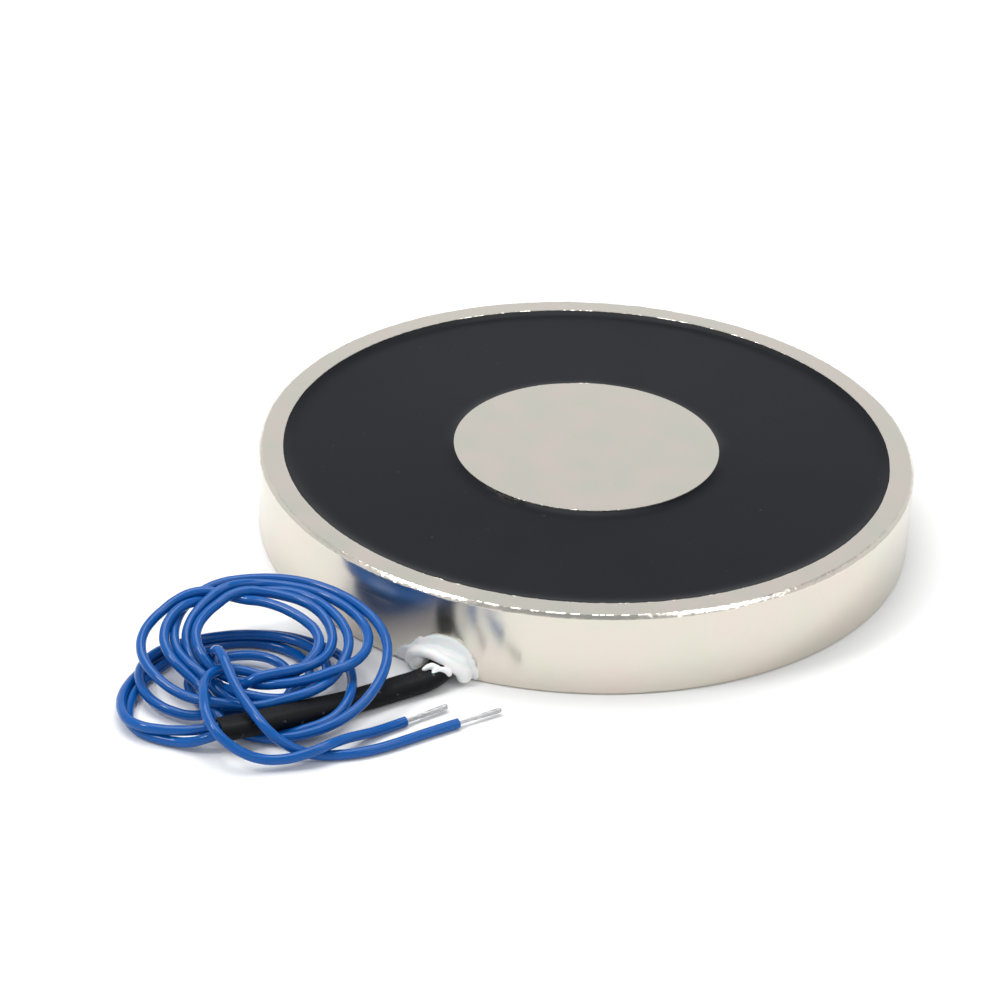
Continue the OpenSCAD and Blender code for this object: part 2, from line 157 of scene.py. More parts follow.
class MagnetLeadSizes(PropertyGroup):
    """Sizes of the leads, their sleeve and their hole"""
    lead: length("Lead", 1.45, "Diameter over a lead's insulation")
    conductor: length("Conductor", 0.8, "Diameter of the stranded conductor with its solder")
    strip: length("Stripped end", 7.0, "Bare length at a lead's end")
    lay: length("Lay of the strands", 9.0, "Length in which a strand turns once")
    apart: length("Leads apart", 1.55, "Distance between the two leads in the sleeve")
    sleeve_width: length("Sleeve width", 4.1, "Width of the black sleeve")
    sleeve_thickness: length("Sleeve thickness", 2.65, "Thickness of the black sleeve")
    sleeve_wall: length("Sleeve wall", 0.3, "Wall of the black sleeve")
    hole: length("Lead hole", 4.8, "Diameter of the hole in the pot's wall")
    hole_height: length("Lead hole height", 3.11, "Height of the hole's axis at the pot's wall")
    hole_slope: degrees("Lead hole slope", 20, "Rise of the hole towards the inside")
    hole_run: length("Lead hole length", 6.3, "Length of the hole along its axis")
    hole_bend: length("Bend in the hole", 4.13, "Depth in the hole where the leads part")
    straight: length("Straight sleeve", 3.2, "Length of sleeve that is straight outside the hole")


class MagnetColours(PropertyGroup):
    """Colours of the materials and of the room"""
    nickel: colour("Nickel", "#DCDACC", "Satin nickel plating")
    nickel_cloud: colour("Nickel clouds", "#E5D9CF", "Warmer clouds in the plating")
    resin: colour("Casting resin", "#05080F", "Black epoxy around the winding")
    pvc: colour("Lead insulation", "#05519A", "Blue PVC of the leads")
    dust: colour("Dust", "#5A5B5E", "Dust that settled on the resin")
    tubing: colour("Sleeve", "#0B0C0F", "Black tubing over both leads")
    scuff: colour("Scuffs", "#6A6A6C", "Scuffs on the black tubing")
    silicone: colour("Sealant", "#F2F3F1", "White silicone at the lead hole")
    tinned: colour("Tinned copper", "#C8C8C9", "Bare ends of the leads")
    nylon: colour("Former", "#E4DAC0", "Natural nylon of the former")
    copper: colour("Magnet wire", "#9C4A22", "Enamelled copper wire")
    tape: colour("Winding tape", "#D9B64A", "Polyester film around the winding")
    solder: colour("Solder", "#B9B9B6", "Solder of the joints")
    glass: colour("Joint sleeve", "#D8D4C6", "Glass fibre sleeves over the joints")
    floor: colour("Floor", "#F2F2F1", "Pale studio floor")
    room_low: colour("Room low", "#E9EBED", "Light of the room near the floor")
    room_high: colour("Room high", "#A6A9AD", "Light of the room overhead")


class MagnetStage(PropertyGroup):
    """Place and lens of the camera"""
    distance: length("Camera distance", 479.8, "From the camera to the middle of the holding face")
    elevation: degrees("Elevation", 28.58, "Camera above the holding face")
    azimuth: degrees("Azimuth", 21.5, "Camera turned from the side where the leads leave")
    roll: degrees("Roll", 2.99, "Tilt of the picture")
    lens: FloatProperty(
        name="Lens", description="Focal length on a 36 mm wide picture, in millimetres",
        default=112.8, min=10.0)
    face_x: FloatProperty(
        name="Face across", description="Place of the face's middle, as a share of the picture's width",
        default=0.5864, subtype="FACTOR")
    face_y: FloatProperty(
        name="Face down", description="Place of the face's middle, as a share of the picture's height",
        default=0.4444, subtype="FACTOR")


class MagnetSettings(PropertyGroup):
    """All settings of the magnet"""
    pot: PointerProperty(type=MagnetPotSizes)
    leads: PointerProperty(type=MagnetLeadSizes)
    colours: PointerProperty(type=MagnetColours)
    stage: PointerProperty(type=MagnetStage)


# Meshes


def add_object(name, data):
    """A new object in the scene."""
    made = bpy.data.objects.new(name, data)
    bpy.context.scene.collection.objects.link(made)
    return made


def mesh_from(name, bm, sharp_angle=math.radians(32)):
    """A mesh of what bm holds: outward faces, smooth but for edges over sharp_angle."""
    bmesh.ops.recalc_face_normals(bm, faces=bm.faces)
    for face in bm.faces:
        face.smooth = True
    for edge in bm.edges:
        edge.smooth = edge.calc_face_angle(0.0) < sharp_angle
    mesh = bpy.data.meshes.new(name)
    bm.to_mesh(mesh)
    bm.free()
    return mesh


def join_rings(bm, low, high):
    """Faces between two rings of vertices that have the same count."""
    for i in range(len(low)):
        j = (i + 1) % len(low)
        bm.faces.new((low[i], low[j], high[j], high[i]))


def add_rings(bm, rings, closed=False):
    """Rings of points, joined in order. Returns the rings' vertices."""
    made = [[bm.verts.new(p) for p in ring] for ring in rings]
    for low, high in zip(made, made[1:] + (made[:1] if closed else [])):
        join_rings(bm, low, high)
    return made


def add_cap(bm, ring, point):
    """A fan of faces from a ring of vertices to one point."""
    tip = bm.verts.new(point)
    for i in range(len(ring)):
        bm.faces.new((ring[i], ring[(i + 1) % len(ring)], tip))


def circle(r, z, count, burr=0.0, seed=0.0, wave=0.5, longer=6):
    """A level ring in metres, its radius and height uneven by burr in waves of two lengths.

    wave is the short waves' length in millimetres. The long ones are the same in all rings.
    """
    ring = []
    for i in range(count):
        turn = 2 * math.pi * i / count
        out = Vector((math.cos(turn), math.sin(turn), 0.0))
        place = out * (r / wave)
        across, up = (
            burr * (noise.noise(place + Vector((0, 0, short)))
                    + noise.noise(place / longer + Vector((0, 0, long))))
            for short, long in ((seed, 1.7), (seed + 7.3, 4.1)))
        ring.append((out * (r + across) + Vector((0, 0, z + up))) * MM)
    return ring


def ring_edges(bm, ring):
    """The edges of a closed ring of vertices."""
    return [bm.edges.get((ring[i], ring[(i + 1) % len(ring)])) for i in range(len(ring))]


def nearness(point, middle, half):
    """1 for a point that stands middle degrees around the axis, falling to 0 at half degrees from there."""
    around = math.degrees(math.atan2(point.y, point.x))
    return max(0, 1 - ((around - middle) / half) ** 2)


def applied(obj):
    """The mesh of obj with its modifiers."""
    return bpy.data.meshes.new_from_object(obj.evaluated_get(bpy.context.evaluated_depsgraph_get()))


# Lines of the sleeve and of the leads, in millimetres


def from_wall(route):
    """A route's points in the part's frame."""
    return [(x, y - POT_R, z) for x, y, z in route]


# Pairs of knots that a point of a smooth line is blended between, level by level
BLENDS = (((0, 1), (1, 2), (2, 3)), ((0, 2), (1, 3)), ((1, 2),))


def smooth_line(points, step):
    """A centripetal spline through points, with points about step apart."""
    p = np.asarray(points, float)
    p = np.vstack([2 * p[0] - p[1], p, 2 * p[-1] - p[-2]])
    knots = np.r_[0, np.cumsum(np.sqrt(np.linalg.norm(np.diff(p, axis=0), axis=1)))]
    line = []
    for i in range(1, len(p) - 2):
        count = max(2, math.ceil(np.linalg.norm(p[i + 1] - p[i]) / step * 4))
        for t in np.linspace(knots[i], knots[i + 1], count, endpoint=False):
            row = list(p[i - 1:i + 3])
            at = knots[i - 1:i + 3]
            for level in BLENDS:
                for k, (lo, hi) in enumerate(level):
                    share = (t - at[lo]) / (at[hi] - at[lo])
                    row[k] = row[k] * (1 - share) + row[k + 1] * share
            line.append(row[0])
    line.append(p[-2])
    return even_line(np.array(line), step)


def even_line(line, step):
    """The same line with evenly spaced points, about step apart."""
    along = np.r_[0, np.cumsum(np.linalg.norm(np.diff(line, axis=0), axis=1))]
    places = np.linspace(0, along[-1], round(along[-1] / step) + 1)
    return np.stack([np.interp(places, along, line[:, k]) for k in range(3)], axis=1)


def rounded_line(line, passes=12):
    """The line with its small kinks evened out and its ends kept."""
    line = line.copy()
    for _ in range(passes):
        line[1:-1] = (line[:-2] + 2 * line[1:-1] + line[2:]) / 4
    return line


def sideways(line):
    """Level unit vectors to the right of a line's direction."""
    ahead = np.gradient(line, axis=0)
    right = np.cross(ahead, (0, 0, 1))
    return right / np.linalg.norm(right, axis=1)[:, None]


def hole_point(leads, depth):
    """A point on the lead hole's axis, depth millimetres inside the pot's wall."""
    return (0, depth * math.cos(leads.hole_slope) - POT_R,
            leads.hole_height / MM + depth * math.sin(leads.hole_slope))


def sleeve_line(leads):
    """Middle line of the sleeve, from inside the lead hole to its open end."""
    depths = (leads.hole_bend / MM, 0, -leads.straight / MM)
    return [hole_point(leads, d) for d in depths] + from_wall(SLEEVE_ROUTE)


def inside_line(side):
    """A lead from its joint in the resin to the lead hole; side is -1 for lead A and 1 for lead B."""
    return [(side * x, y, z) for x, y, z in INSIDE_ROUTE]


def coil_line(turns, per_step=3):
    """Points of a lead's turns, from their radius and height every COIL_STEP degrees."""
    rows = np.array([turns[0]] + turns + [turns[-1]], float)
    view = math.degrees(bpy.context.scene.magnet.stage.azimuth)
    points = []
    for i in range(1, len(rows) - 2):
        a, b, c, d = rows[i - 1:i + 3]
        for k in range(per_step):
            u = k / per_step
            r, z = 0.5 * (2 * b + (c - a) * u + (2 * a - 5 * b + 4 * c - d) * u ** 2
                          + (3 * b - a - 3 * c + d) * u ** 3)
            turn = math.radians(view - 90 - COIL_STEP * (i + u))
            points.append((COIL_CENTER[0] + r * math.cos(turn), COIL_CENTER[1] + r * math.sin(turn), z))
    return from_wall(points)


def push_apart(points, others, allowed, gap):
    """Moves that take points to gap from others, where allowed says that a pair counts."""
    between = points[:, None] - others[None]
    distance = np.linalg.norm(between, axis=2) + 1e-9
    short = np.where(allowed, np.maximum(0, gap - distance), 0)
    direction = between / distance[:, :, None]
    touching = np.maximum(1, (short > 0).sum(axis=1))
    return (direction * short[:, :, None]).sum(axis=1) / touching[:, None]


def settle(lines, held, sleeve, leads, step, rounds=160, play=0.03, pull=0.02, stiffness=0.14):
    """Lets the drawn lines lie on the floor, the sleeve, the pot's wall and each other, play apart.

    held is the count of points of each line that the sleeve holds in place. In a round, pull is the share of
    the way back to its drawn place that a point takes, and stiffness the share of a bend that is evened out.
    """
    lead_d = leads.lead / MM
    sleeve_width = round(leads.sleeve_width / MM, 3)
    sleeve_thickness = round(leads.sleeve_thickness / MM, 3)
    counts = [len(line) for line in lines]
    points = np.vstack(lines)
    drawn = points.copy()
    lead = np.repeat(np.arange(len(lines)), counts)
    order = np.concatenate([np.arange(n) for n in counts])
    fixed = np.concatenate([np.arange(n) < h for n, h in zip(counts, held)])
    fixed[[n - 1 for n in np.cumsum(counts)]] = True
    free = ~fixed[:, None]
    # Neighbours on one lead don't push each other
    apart = np.abs(order[:, None] - order[None]) * step > 3 * lead_d
    pairs = ((lead[:, None] != lead[None]) | apart) & ~(fixed[:, None] & fixed[None])
    flat = (sleeve_width - sleeve_thickness) / 2 * sideways(sleeve)
    body = np.vstack([sleeve - flat, sleeve, sleeve + flat])
    on_body = np.ones((len(points), len(body)), bool)
    wall = POT_R + lead_d / 2 + play
    for _ in range(rounds):
        # Two points that are too close each take half the way, and rather up or down than sideways
        move = 0.5 * push_apart(points, points, pairs, lead_d + play)
        move[:, 2] *= 1.5
        move += push_apart(points, body, on_body, lead_d / 2 + sleeve_thickness / 2 + play)
        move += pull * (drawn - points)
        points = points + np.where(free, move, 0)
        start = 0
        for n in counts:
            line = points[start:start + n]
            stiff = np.zeros_like(line)
            stiff[2:-2] = (4 * (line[1:-3] + line[3:-1]) - line[:-4] - line[4:] - 6 * line[2:-2]) / 6
            line += np.where(free[start:start + n], stiffness * stiff, 0)
            start += n
        points[:, 2] = np.where(fixed, points[:, 2], np.maximum(points[:, 2], lead_d / 2 + play))
        out = np.hypot(points[:, 0], points[:, 1])
        inside = ~fixed & (out < wall)
        points[:, :2] *= np.where(inside, wall / out, 1)[:, None]
    return np.split(points, np.cumsum(counts)[:-1])


def lead_lines(leads, step=1.2):
    """Middle lines of leads A and B from their joints to the ends of their insulation."""
    middle = np.array(sleeve_line(leads))
    right = sideways(middle)
    lines, held = [], []
    for side, entry, turns, crest, end in (
            (-1, ENTRY_A, TURNS_A, CREST_A, END_A_ROUTE), (1, ENTRY_B, TURNS_B, CREST_B, END_B_ROUTE)):
        beside = middle - side * leads.apart / 2 / MM * right
        run = inside_line(side) + [tuple(p) for p in beside]
        route = run + from_wall(entry) + coil_line(turns) + from_wall(crest) + from_wall(end)
        lines.append(smooth_line(route, step))
        held.append(len(smooth_line(run, step)))
    return settle(lines, held, smooth_line(middle, step), leads, step)


# Materials


def add(tree, kind, inputs=None, **fields):
    """Adds a shader node with its fields set.

    An input is linked if given a socket or a node, whose first output is then taken, and else set.
    """
    made = tree.nodes.new(kind)
    for name, value in fields.items():
        setattr(made, name, value)
    for name, value in (inputs or {}).items():
        if isinstance(value, bpy.types.Node):
            value = value.outputs[0]
        if isinstance(value, bpy.types.NodeSocket):
            tree.links.new(value, made.inputs[name])
        else:
            made.inputs[name].default_value = value
    return made


def new_material(name, **sockets):
    """A material with one principled shader, its sockets set by name.

    Returns it, its tree, the shader and the object's own coordinates.
    """
    made = bpy.data.materials.new(name)
    made.use_nodes = True
    tree = made.node_tree
    shader = tree.nodes["Principled BSDF"]
    for socket, value in sockets.items():
        shader.inputs[socket.replace("_", " ")].default_value = value
    return made, tree, shader, add(tree, "ShaderNodeTexCoord").outputs["Object"]


def vary(tree, shader, pattern, tones=None, rough=None, relief=None, span=(0.3, 0.7)):
    """Lets a pattern blend two colours, move the roughness between two values, or raise the surface.

    relief is a strength and a height in millimetres, and span what the pattern's values mostly lie between.
    """
    if tones:
        tone = add(tree, "ShaderNodeMix", {0: pattern, 6: tones[0], 7: tones[1]}, data_type="RGBA")
        tree.links.new(tone.outputs[2], shader.inputs["Base Color"])
    if rough:
        value = add(tree, "ShaderNodeMapRange", {
            "Value": pattern, "From Min": span[0], "From Max": span[1],
            "To Min": rough[0], "To Max": rough[1]})
        tree.links.new(value.outputs[0], shader.inputs["Roughness"])
    if relief:
        bump = add(tree, "ShaderNodeBump", {
            "Height": pattern, "Strength": relief[0], "Distance": relief[1] * MM})
        tree.links.new(bump.outputs[0], shader.inputs["Normal"])


def rgba(rgb, factor=1.0):
    """A colour scaled by factor, with full alpha."""
    return (*[min(1.0, c * factor) for c in rgb], 1.0)


def shades(rgb, *factors):
    """A colour scaled by each factor."""
    return [rgba(rgb, factor) for factor in factors]


def per_mm(size):
    """Scale of a pattern whose features are size millimetres, for coordinates in metres."""
    return 1 / (size * MM)


def nickel_plated_steel(look, turned):
    """Steel under satin nickel: a warm pale mirror with faint clouds, drawn out on a turned wall, whose
    colour is darkened there as painted shade.
    """
    made, tree, shader, place = new_material(
        "nickel_on_turned_steel" if turned else "nickel_on_ground_steel", Metallic=1.0)
    clouds = add(tree, "ShaderNodeTexNoise", {"Vector": place, "Scale": per_mm(7), "Detail": 4.0})
    clear = add(tree, "ShaderNodeMapRange", {"Value": clouds, "From Min": 0.3, "From Max": 0.7})
    # Painted shade: on the turned wall both colours of the plating are darkened to nine tenths
    shade = 0.9 if turned else 1.0
    vary(tree, shader, clear, tones=(rgba(look.nickel, shade), rgba(look.nickel_cloud, shade)))
    vary(tree, shader, clouds, rough=(0.14, 0.19) if turned else (0.17, 0.22))
    if turned:
        # Turning marks of about 0.1 mm, drawn at 0.8 mm so that they show
        height = add(tree, "ShaderNodeSeparateXYZ", {0: place}).outputs["Z"]
        marks = add(tree, "ShaderNodeTexNoise", {"W": height, "Scale": per_mm(0.8), "Detail": 0.0},
                    noise_dimensions="1D")
        vary(tree, shader, marks, relief=(0.1, 0.02))
        tangent = add(tree, "ShaderNodeTangent", direction_type="RADIAL", axis="Z")
        tree.links.new(tangent.outputs[0], shader.inputs["Tangent"])
        shader.inputs["Anisotropic"].default_value = 0.85
        shader.inputs["Anisotropic Rotation"].default_value = 0.25
    return made


def casting_resin(look):
    """Black epoxy, poured and cured: near black with a soft sheen, faint swells and settled dust."""
    made, tree, shader, place = new_material("casting_resin", IOR=1.5, Specular_IOR_Level=0.115)
    swell = add(tree, "ShaderNodeTexNoise", {"Vector": place, "Scale": per_mm(16), "Detail": 2.0})
    dust = add(tree, "ShaderNodeTexNoise", {"Vector": place, "Scale": per_mm(1.2), "Detail": 2.0})
    speck = add(tree, "ShaderNodeMapRange", {
        "Value": dust, "From Min": 0.75, "From Max": 0.8, "To Max": 0.25})
    low, high = shades(look.resin, 0.85, 1.2)
    tone = add(tree, "ShaderNodeMix", {0: swell, 6: low, 7: high}, data_type="RGBA")
    vary(tree, shader, speck, tones=(tone.outputs[2], rgba(look.dust)))
    vary(tree, shader, swell, rough=(0.26, 0.36), relief=(0.12, 0.3))
    return made


def blue_pvc(look):
    """Extruded PVC insulation: saturated blue with a satin shine, slightly uneven along its length."""
    made, tree, shader, place = new_material("blue_pvc", IOR=1.53, Specular_IOR_Level=0.28)
    patches = add(tree, "ShaderNodeTexNoise", {"Vector": place, "Scale": per_mm(3), "Detail": 3.0})
    skin = add(tree, "ShaderNodeTexNoise", {"Vector": place, "Scale": per_mm(1.5), "Detail": 0.0})
    vary(tree, shader, patches, tones=shades(look.pvc, 0.88, 1.12), rough=(0.1, 0.16))
    vary(tree, shader, skin, relief=(0.1, 0.1))
    return made


def black_tubing(look):
    """Thin extruded black tubing: dull, with pale scuffs where it was handled."""
    made, tree, shader, place = new_material("black_tubing", IOR=1.5, Specular_IOR_Level=0.15)
    grain = add(tree, "ShaderNodeTexNoise", {"Vector": place, "Scale": per_mm(0.4), "Detail": 3.0})
    scuffs = add(tree, "ShaderNodeTexNoise", {"Vector": place, "Scale": per_mm(0.8), "Detail": 4.0})
    scuff = add(tree, "ShaderNodeMapRange", {
        "Value": scuffs, "From Min": 0.66, "From Max": 0.74, "To Max": 0.5})
    vary(tree, shader, scuff, tones=(rgba(look.tubing), rgba(look.scuff)))
    vary(tree, shader, grain, rough=(0.42, 0.6), relief=(0.15, 0.05))
    return made


def silicone_sealant(look):
    """Cured white silicone, dabbed on by hand: smooth, soft and a little translucent."""
    made, tree, shader, place = new_material(
        "silicone_sealant", IOR=1.41, Subsurface_Weight=0.35, Subsurface_Scale=0.8 * MM)
    lumps = add(tree, "ShaderNodeTexNoise", {"Vector": place, "Scale": per_mm(1.4), "Detail": 2.0})
    vary(tree, shader, lumps, tones=shades(look.silicone, 0.9, 1.0), rough=(0.3, 0.45),
         relief=(0.1, 0.2))
    return made


def tinned_copper(look):
    """Copper strands dipped in tin: pale grey metal with duller, darker patches, partly uneven tin and
    partly painted shade.
    """
    made, tree, shader, place = new_material("tinned_copper", Metallic=1.0)
    patches = add(tree, "ShaderNodeTexNoise", {"Vector": place, "Scale": per_mm(0.5), "Detail": 3.0})
    # The patches darken the tin down to 0.55 of its colour, most where their relief dips: partly uneven tin,
    # partly painted shade
    vary(tree, shader, patches, tones=shades(look.tinned, 0.55, 1.1), rough=(0.32, 0.47),
         relief=(0.2, 0.05))
    return made


def moulded_nylon(look):
    """Natural nylon from a mould: cream, soft and a little translucent, with faint flow marks."""
    made, tree, shader, place = new_material(
        "former_nylon", IOR=1.53, Subsurface_Weight=0.2, Subsurface_Scale=0.6 * MM)
    flow = add(tree, "ShaderNodeTexNoise", {
        "Vector": place, "Scale": per_mm(6), "Detail": 3.0, "Distortion": 1.0})
    vary(tree, shader, flow, tones=shades(look.nylon, 0.88, 1.08), rough=(0.4, 0.52))
    return made


def magnet_wire(look, wound):
    """Enamelled copper: red-brown metal under amber gloss; where wound, fine grooves between its turns."""
    made, tree, shader, place = new_material(
        "magnet_wire_wound" if wound else "magnet_wire", Metallic=1.0, Coat_Weight=0.6, Coat_Roughness=0.12,
        Coat_IOR=1.55)
    age = add(tree, "ShaderNodeTexNoise", {"Vector": place, "Scale": per_mm(2), "Detail": 2.0})
    vary(tree, shader, age, tones=shades(look.copper, 0.75, 1.15), rough=(0.22, 0.34))
    if wound:
        # Turns of 0.5 mm wire: over each other on the outside, and in rings on both ends. One wave of
        # Blender's pattern takes 2 pi / 20 of its scaled length.
        turns = {"Vector": place, "Scale": per_mm(0.5) * math.pi / 10}
        layers = add(tree, "ShaderNodeTexWave", turns, bands_direction="Z")
        rings = add(tree, "ShaderNodeTexWave", turns, wave_type="RINGS", rings_direction="Z")
        both = add(tree, "ShaderNodeMath", {0: layers.outputs["Fac"], 1: rings.outputs["Fac"]},
                   operation="ADD")
        vary(tree, shader, both, relief=(0.8, 0.15))
    return made


def polyester_tape(look):
    """Polyester film wound around the coil: amber and glossy, with upright creases."""
    made, tree, shader, place = new_material("polyester_tape", IOR=1.6)
    upright = add(tree, "ShaderNodeMapping", {"Vector": place, "Scale": (1.0, 1.0, 0.2)})
    creases = add(tree, "ShaderNodeTexNoise", {"Vector": upright, "Scale": per_mm(2.5), "Detail": 2.0})
    vary(tree, shader, creases, tones=shades(look.tape, 0.8, 1.1), rough=(0.14, 0.24),
         relief=(0.3, 0.1))
    return made


def dull_solder(look):
    """Set solder: grey metal, grainy and half dull."""
    made, tree, shader, place = new_material("solder", Metallic=1.0)
    grain = add(tree, "ShaderNodeTexNoise", {"Vector": place, "Scale": per_mm(0.3), "Detail": 3.0})
    vary(tree, shader, grain, tones=shades(look.solder, 0.8, 1.1), rough=(0.35, 0.52))
    return made


def glass_fibre(look):
    """Braided glass fibre: off-white and matt, with the small squares of its weave."""
    made, tree, shader, place = new_material("glass_fibre_sleeve", IOR=1.52)
    weave = add(tree, "ShaderNodeTexVoronoi", {"Vector": place, "Scale": per_mm(0.35), "Randomness": 0.25},
                distance="MANHATTAN")
    vary(tree, shader, weave, tones=shades(look.glass, 1.05, 0.7), rough=(0.6, 0.8), span=(0, 1))
    bump = add(tree, "ShaderNodeBump", {"Height": weave, "Strength": 0.5, "Distance": 0.1 * MM}, invert=True)
    tree.links.new(bump.outputs[0], shader.inputs["Normal"])
    return made


def studio_floor(look):
    """Matt white paper: pale, even and without gloss, with faint fibres."""
    made, tree, shader, place = new_material("studio_floor", Roughness=0.9, Specular_IOR_Level=0.1)
    fibre = add(tree, "ShaderNodeTexNoise", {"Vector": place, "Scale": per_mm(30), "Detail": 2.0})
    vary(tree, shader, fibre, tones=shades(look.floor, 0.99, 1.0))
    return made


def dress(obj, material):
    """Gives a new piece its material and parents it to the root body."""
    obj.data.materials.clear()
    obj.data.materials.append(material)
    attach(obj, "root")


# Operators


class MAGNET_OT_stage(Operator):
    """Sets the camera, the floor and the light"""
    bl_idname = "magnet.stage"
    bl_label = "Stage"

    FLOOR_SIDE = 4.0
    SENSOR = 36
    # Sines of the elevations where the room starts to darken and where it is darkest
    DARKENS = (0.45, 0.8)
    # Softboxes: place and side in metres, and power in watts
    SOFTBOXES = {
        "overhead": ((-0.2, 0.2, 1.0), 0.8, 7.7),
        "left_edge": ((-0.45, -0.42, 0.8), 0.2, 2.6),
        "right_edge": ((0.6, -0.06, 0.8), 0.45, 1.4),
    }

    def execute(self, context):
        scene = context.scene
        self.add_camera(scene, scene.magnet.stage)
        bm = bmesh.new()
        bmesh.ops.create_grid(bm, x_segments=1, y_segments=1, size=self.FLOOR_SIDE / 2)
        floor = add_object("floor", mesh_from("floor", bm))
        floor.data.materials.append(studio_floor(scene.magnet.colours))
        for name, (place, size, power) in self.SOFTBOXES.items():
            self.add_softbox(name, place, size, power)
        self.add_world(scene)
        scene.view_settings.view_transform = "Standard"
        return {"FINISHED"}

    def add_camera(self, scene, stage):
        """Places the camera so that the holding face's middle falls on its place in the picture."""
        focal = stage.lens / self.SENSOR
        back = Vector((0, -math.cos(stage.elevation), math.sin(stage.elevation)))
        ahead = -back
        right = Vector((1, 0, 0))
        up = right.cross(ahead)
        right, up = self.turned(right, up, stage.roll)
        yaw = math.atan((stage.face_x - 0.5) / focal)
        pitch = math.atan((0.5 - stage.face_y) / focal * math.cos(yaw))
        ahead, right = self.turned(ahead, right, -yaw)
        ahead, up = self.turned(ahead, up, -pitch)
        turn = Matrix.Rotation(stage.azimuth, 4, "Z")
        axes = Matrix((right, up, -ahead)).transposed().to_4x4()
        place = Matrix.Translation(back * stage.distance)
        data = bpy.data.cameras.new("camera")
        data.lens = stage.lens
        data.sensor_width = self.SENSOR
        data.clip_start = 0.01
        camera = add_object("camera", data)
        camera.matrix_world = Matrix.Translation((0, 0, POT_H * MM)) @ turn @ place @ axes
        scene.camera = camera

    def turned(self, a, b, turn):
        """Two axes at right angles, with a turned towards b."""
        return math.cos(turn) * a + math.sin(turn) * b, math.cos(turn) * b - math.sin(turn) * a

    def add_softbox(self, name, place, size, power):
        """A square light that faces the part."""
        data = bpy.data.lights.new(name, "AREA")
        data.size = size
        data.energy = power
        light = add_object(name, data)
        light.location = place
        light.rotation_euler = (-Vector(place)).to_track_quat("-Z", "Y").to_euler()

    def add_world(self, scene):
        """A pale room, darker overhead, where the holding face and the resin reflect it."""
        world = bpy.data.worlds.new("studio")
        world.use_nodes = True
        tree = world.node_tree
        sky = tree.nodes["Background"]
        place = add(tree, "ShaderNodeTexCoord").outputs["Generated"]
        height = add(tree, "ShaderNodeSeparateXYZ", {0: place}).outputs["Z"]
        look = scene.magnet.colours
        start, end = self.DARKENS
        above = add(tree, "ShaderNodeMapRange", {"Value": height, "From Min": start, "From Max": end})
        shade = add(tree, "ShaderNodeMix", {
            0: above, 6: rgba(look.room_low), 7: rgba(look.room_high)}, data_type="RGBA")
        tree.links.new(shade.outputs[2], sky.inputs["Color"])
        scene.world = world


class MAGNET_OT_leads(Operator):
    """Lays both blue leads from the lead hole through the coil to their free ends"""
    bl_idname = "magnet.leads"
    bl_label = "Leads"

    def execute(self, context):
        leads = context.scene.magnet.leads
        material = blue_pvc(context.scene.magnet.colours)
        for name, line in zip(("lead_a", "lead_b"), lead_lines(leads)):
            cord = self.add_cord(name, line, leads.lead / 2)
            dress(cord, material)
            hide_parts(name + "_run", "lead_coil", name + "_end")
        return {"FINISHED"}

    def add_cord(self, name, line, radius, spacing=2.6):
        """A round curve along a line given in millimetres, with a knot every spacing."""
        data = bpy.data.curves.new(name, "CURVE")
        data.dimensions = "3D"
        data.bevel_depth = radius
        data.bevel_resolution = 5
        data.resolution_u = 6
        data.use_fill_caps = True
        points = even_line(rounded_line(smooth_line(line, FINE_STEP)), spacing) * MM
        spline = data.splines.new("BEZIER")
        spline.bezier_points.add(len(points) - 1)
        for knot, point in zip(spline.bezier_points, points):
            knot.co = point
            knot.handle_left_type = knot.handle_right_type = "AUTO"
        return add_object(name, data)


